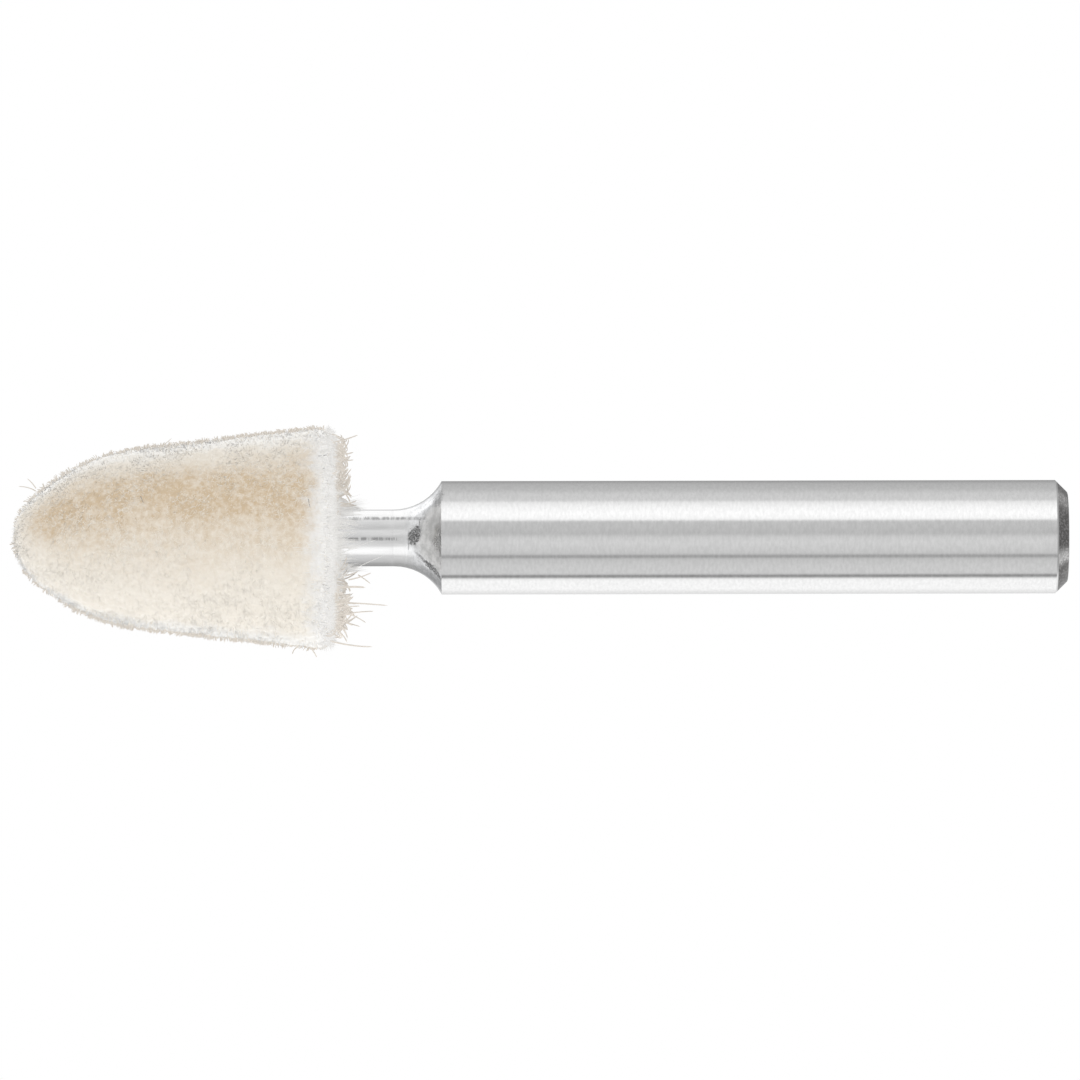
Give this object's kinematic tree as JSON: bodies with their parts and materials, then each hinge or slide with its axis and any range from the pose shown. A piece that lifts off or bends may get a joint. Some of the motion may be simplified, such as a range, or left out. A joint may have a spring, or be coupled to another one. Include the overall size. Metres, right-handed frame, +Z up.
{
  "type": "felt polishing point",
  "caption": "Tapered, round-nosed pressed felt polishing body glued on a necked steel shank, for a rotary tool's collet.",
  "frame": {"origin": "on the tool's axis at the shank's shoulder, where the flare of the neck reaches the full 6 mm diameter and the gripped length begins", "axes": "+X along the tool's axis, from the felt to the shank's free end; +Z up and +Y away from the viewer, both across the round tool"},
  "size_m": [0.0558, 0.0116, 0.0116],
  "materials": {
    "wool_felt": "matte",
    "ground_steel": "satin",
    "cured_glue": "gloss"
  },
  "bodies": {
    "root": {"felt_body": "wool_felt", "steel_shank": "ground_steel", "glue_bond": "cured_glue"}
  },
  "joints": []
}
